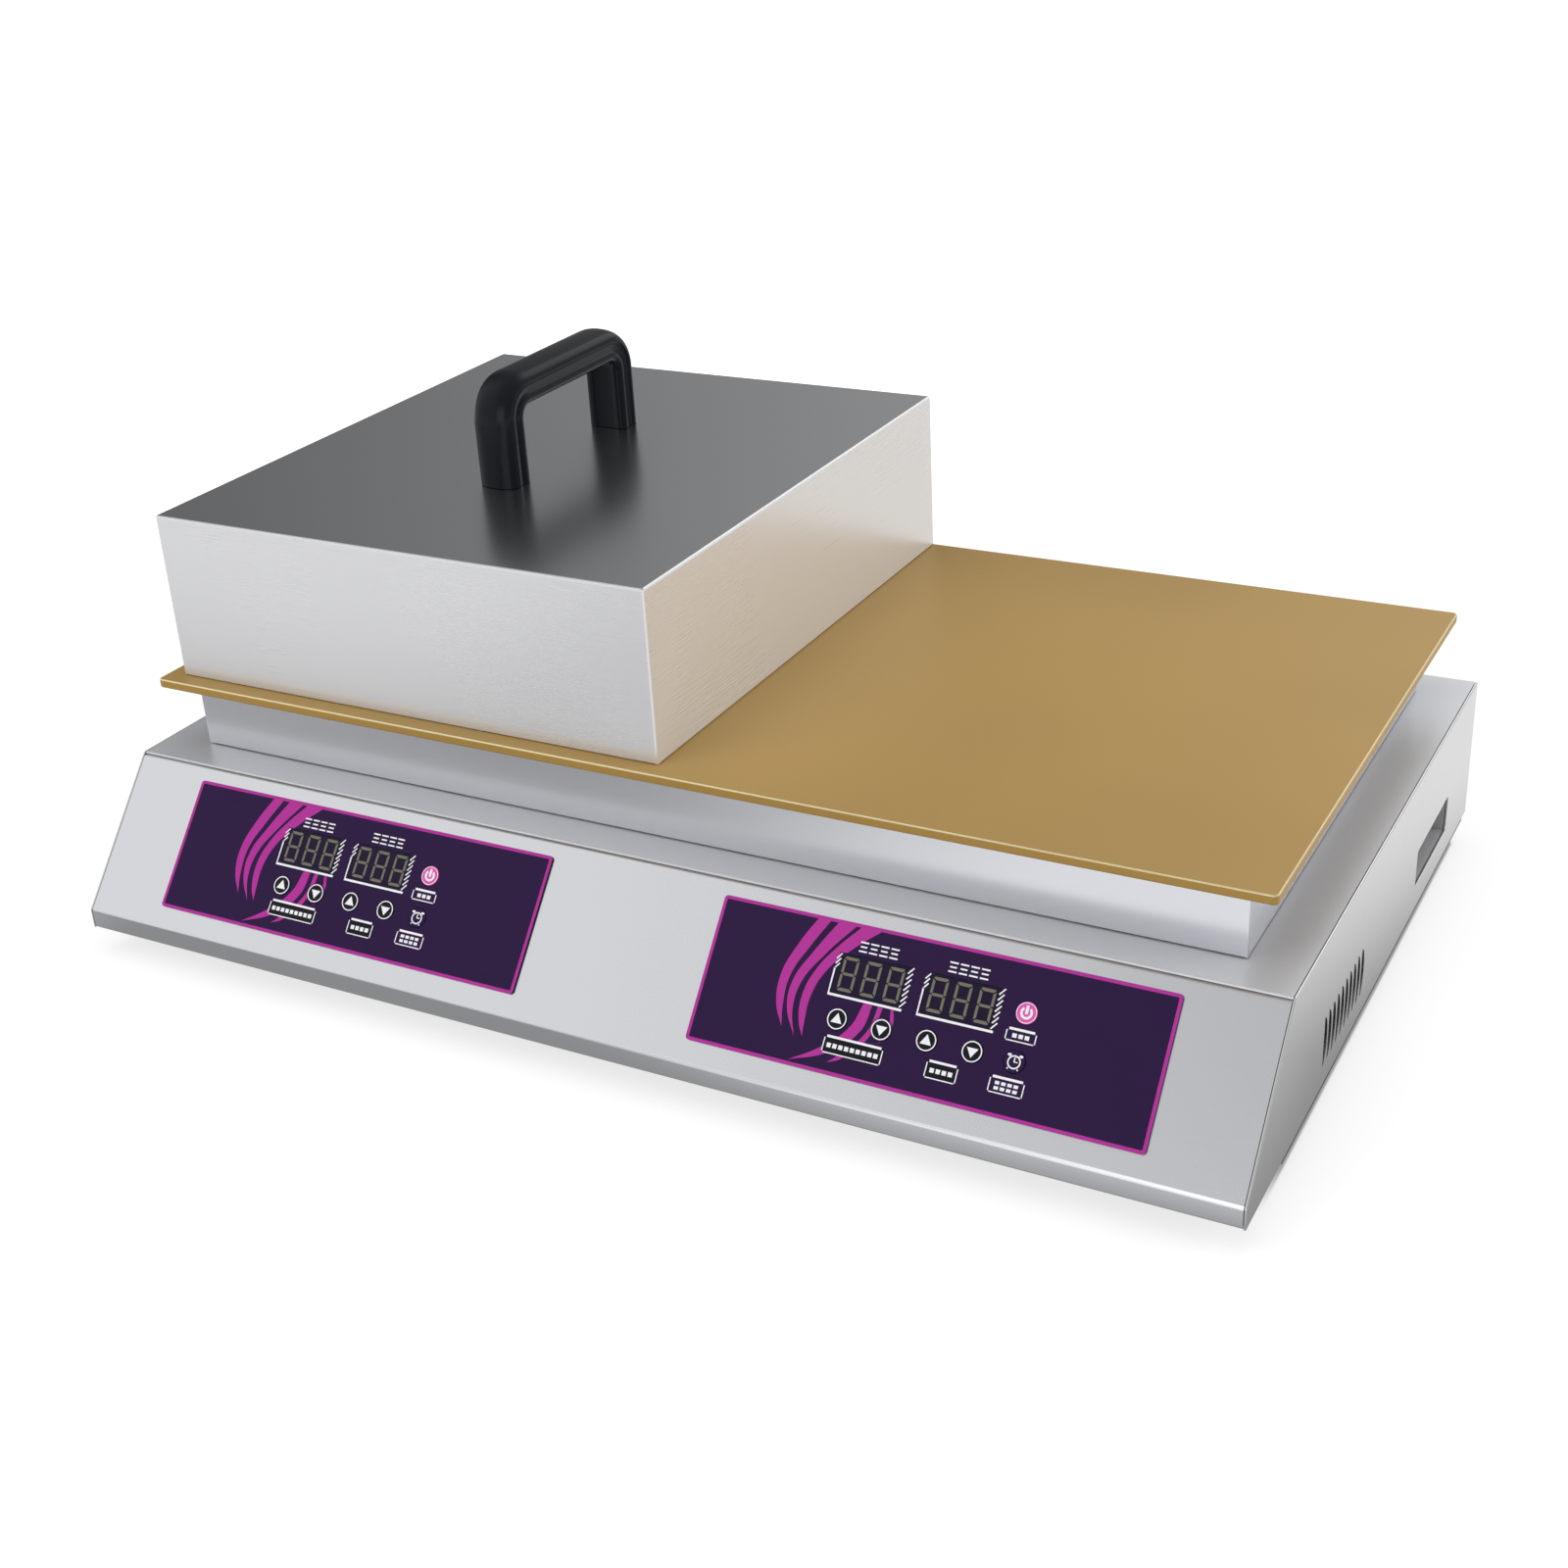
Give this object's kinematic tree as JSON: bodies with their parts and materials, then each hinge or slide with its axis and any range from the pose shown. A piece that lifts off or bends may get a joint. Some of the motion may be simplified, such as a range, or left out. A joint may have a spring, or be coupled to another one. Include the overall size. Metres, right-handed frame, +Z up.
{
  "type": "souffle pancake maker",
  "caption": "Wide steel countertop griddle with a bronze-coloured plate on a heater box, a lift-off box lid with a bridge handle, and purple control panels with keys on its sloping front.",
  "frame": {"origin": "centre of the whole machine's footprint, on the surface that its feet stand on", "axes": "+Z up, +Y towards the rear panel, +X to the right of someone who faces the control panels"},
  "size_m": [0.676, 0.4504, 0.301],
  "materials": {
    "housing_steel": "fine satin sheet steel with bright bends",
    "skirt_steel": "satin sheet steel",
    "lid_steel": "satin sheet steel, grain from front to back on the top",
    "plain_steel": "dull galvanised sheet",
    "bronze_plate": "fine bead-blasted bronze colour with a rounded edge",
    "handle_plastic": "gloss black moulded",
    "gland_plastic": "black nylon",
    "foot_rubber": "black rubber",
    "overlay_print": "dark purple printed film with a magenta border and stripes",
    "display_window": "smoked window over unlit seven-segment digits",
    "key_print": "printed key with a white ring and sign",
    "heater_sheath": "heat-stained metal sheath",
    "ceramic_wool": "white ceramic wool",
    "circuit_board": "green board",
    "pale_plastic": "pale moulded plastic"
  },
  "bodies": {
    "base": {"front_fascia": "housing_steel", "top_deck": "housing_steel", "rear_panel": "housing_steel", "left_side_panel": "housing_steel", "right_side_panel": "housing_steel", "skirt_front": "skirt_steel", "skirt_rear": "skirt_steel", "skirt_left": "skirt_steel", "skirt_right": "skirt_steel", "base_pan": "plain_steel", "heater_tray": "plain_steel", "left_grip_pocket": "plain_steel", "right_grip_pocket": "plain_steel", "left_heater_clamp": "plain_steel", "right_heater_clamp": "plain_steel", "left_temperature_probe": "plain_steel", "right_temperature_probe": "plain_steel", "left_clamp_bolt": "plain_steel", "right_clamp_bolt": "plain_steel", "griddle_plate": "bronze_plate", "cable_gland": "gland_plastic", "gland_nut": "gland_plastic", "foot_front_left": "foot_rubber", "foot_front_right": "foot_rubber", "foot_rear_left": "foot_rubber", "foot_rear_right": "foot_rubber", "left_control_overlay": "overlay_print", "right_control_overlay": "overlay_print", "left_temperature_display": "display_window", "left_time_display": "display_window", "right_temperature_display": "display_window", "right_time_display": "display_window", "left_heating_element": "heater_sheath", "right_heating_element": "heater_sheath", "left_insulation_pad": "ceramic_wool", "right_insulation_pad": "ceramic_wool", "left_control_board": "circuit_board", "right_control_board": "circuit_board", "left_solid_state_relay": "pale_plastic", "right_solid_state_relay": "pale_plastic", "terminal_block": "pale_plastic", "left_limit_thermostat": "pale_plastic", "right_limit_thermostat": "pale_plastic"},
    "lid": {"lid_shell": "lid_steel", "lid_handle": "handle_plastic", "handle_screw_front": "plain_steel", "handle_screw_rear": "plain_steel"},
    "left_temperature_up": {"left_temperature_up_key": "key_print"},
    "left_temperature_down": {"left_temperature_down_key": "key_print"},
    "left_time_up": {"left_time_up_key": "key_print"},
    "left_time_down": {"left_time_down_key": "key_print"},
    "left_power": {"left_power_key": "key_print"},
    "left_timer": {"left_timer_key": "key_print"},
    "right_temperature_up": {"right_temperature_up_key": "key_print"},
    "right_temperature_down": {"right_temperature_down_key": "key_print"},
    "right_time_up": {"right_time_up_key": "key_print"},
    "right_time_down": {"right_time_down_key": "key_print"},
    "right_power": {"right_power_key": "key_print"},
    "right_timer": {"right_timer_key": "key_print"}
  },
  "joints": [
    {"name": "lid_lift", "type": "slide", "parent": "base", "child": "lid", "axis": [0, 0, 1], "range_m": [0, 0.25]},
    {"name": "left_temperature_up_press", "type": "slide", "parent": "base", "child": "left_temperature_up", "axis": [0, 0.7536, -0.6573], "range_m": [0, 0.0004], "stiffness_N_per_m": 1000, "springref_m": -0.0004},
    {"name": "left_temperature_down_press", "type": "slide", "parent": "base", "child": "left_temperature_down", "axis": [0, 0.7536, -0.6573], "range_m": [0, 0.0004], "stiffness_N_per_m": 1000, "springref_m": -0.0004},
    {"name": "left_time_up_press", "type": "slide", "parent": "base", "child": "left_time_up", "axis": [0, 0.7536, -0.6573], "range_m": [0, 0.0004], "stiffness_N_per_m": 1000, "springref_m": -0.0004},
    {"name": "left_time_down_press", "type": "slide", "parent": "base", "child": "left_time_down", "axis": [0, 0.7536, -0.6573], "range_m": [0, 0.0004], "stiffness_N_per_m": 1000, "springref_m": -0.0004},
    {"name": "left_power_press", "type": "slide", "parent": "base", "child": "left_power", "axis": [0, 0.7536, -0.6573], "range_m": [0, 0.0004], "stiffness_N_per_m": 1000, "springref_m": -0.0004},
    {"name": "left_timer_press", "type": "slide", "parent": "base", "child": "left_timer", "axis": [0, 0.7536, -0.6573], "range_m": [0, 0.0004], "stiffness_N_per_m": 1000, "springref_m": -0.0004},
    {"name": "right_temperature_up_press", "type": "slide", "parent": "base", "child": "right_temperature_up", "axis": [0, 0.7536, -0.6573], "range_m": [0, 0.0004], "stiffness_N_per_m": 1000, "springref_m": -0.0004},
    {"name": "right_temperature_down_press", "type": "slide", "parent": "base", "child": "right_temperature_down", "axis": [0, 0.7536, -0.6573], "range_m": [0, 0.0004], "stiffness_N_per_m": 1000, "springref_m": -0.0004},
    {"name": "right_time_up_press", "type": "slide", "parent": "base", "child": "right_time_up", "axis": [0, 0.7536, -0.6573], "range_m": [0, 0.0004], "stiffness_N_per_m": 1000, "springref_m": -0.0004},
    {"name": "right_time_down_press", "type": "slide", "parent": "base", "child": "right_time_down", "axis": [0, 0.7536, -0.6573], "range_m": [0, 0.0004], "stiffness_N_per_m": 1000, "springref_m": -0.0004},
    {"name": "right_power_press", "type": "slide", "parent": "base", "child": "right_power", "axis": [0, 0.7536, -0.6573], "range_m": [0, 0.0004], "stiffness_N_per_m": 1000, "springref_m": -0.0004},
    {"name": "right_timer_press", "type": "slide", "parent": "base", "child": "right_timer", "axis": [0, 0.7536, -0.6573], "range_m": [0, 0.0004], "stiffness_N_per_m": 1000, "springref_m": -0.0004}
  ]
}
